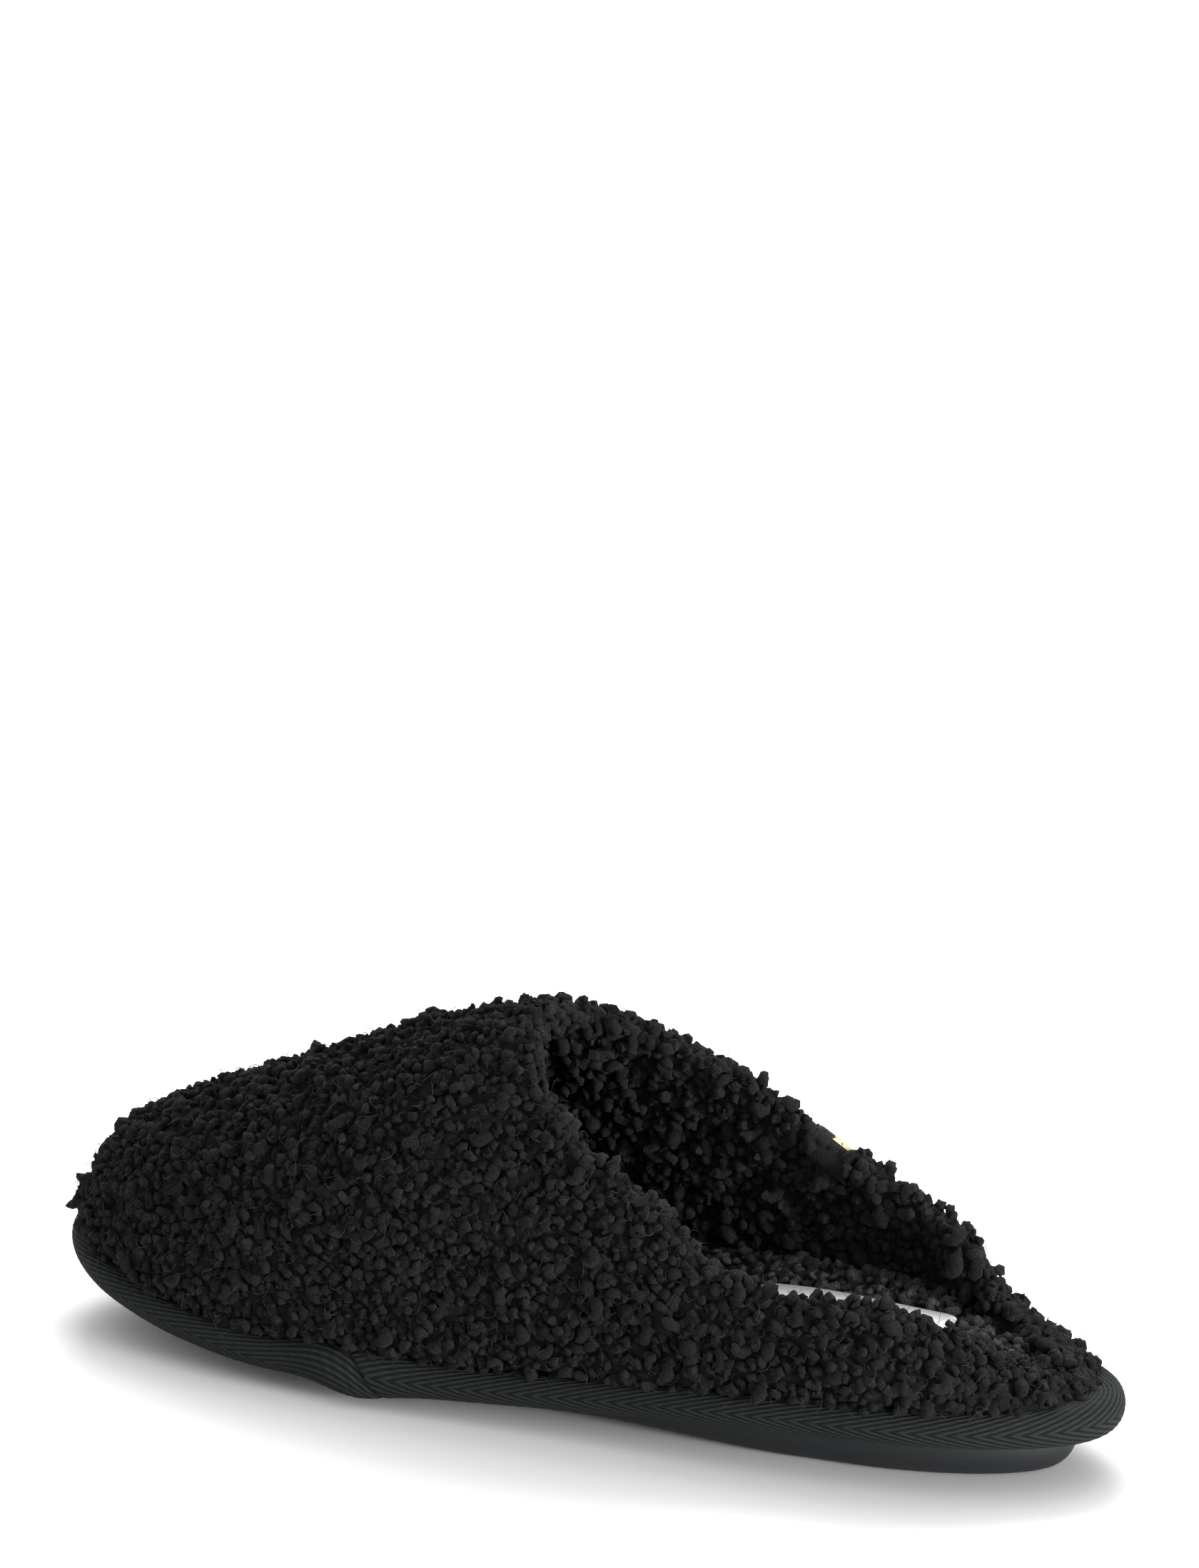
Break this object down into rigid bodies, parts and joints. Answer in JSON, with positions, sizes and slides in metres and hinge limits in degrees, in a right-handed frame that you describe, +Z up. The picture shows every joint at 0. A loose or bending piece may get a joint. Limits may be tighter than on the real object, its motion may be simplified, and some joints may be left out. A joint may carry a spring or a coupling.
{
  "type": "house slipper",
  "caption": "Closed-toe teddy-fleece mule slipper for the right foot, with a tape-bound padded footbed and a smooth inset outsole.",
  "frame": {"origin": "on the floor, under the middle of the shoe's bounding box", "axes": "+Y towards the toe, +X towards the outer side of a right foot, +Z up"},
  "size_m": [0.0986, 0.27, 0.0889],
  "materials": {
    "teddy": "curly teddy pile",
    "insole_teddy": "curly teddy pile",
    "tape": "herringbone weave",
    "outsole": "satin moulded",
    "label": "plain satin weave",
    "ribbon": "grosgrain weave"
  },
  "bodies": {
    "root": {"upper": "teddy", "insole": "insole_teddy", "binding": "tape", "outsole": "outsole", "insole_label": "label", "side_tab": "ribbon"}
  },
  "joints": []
}
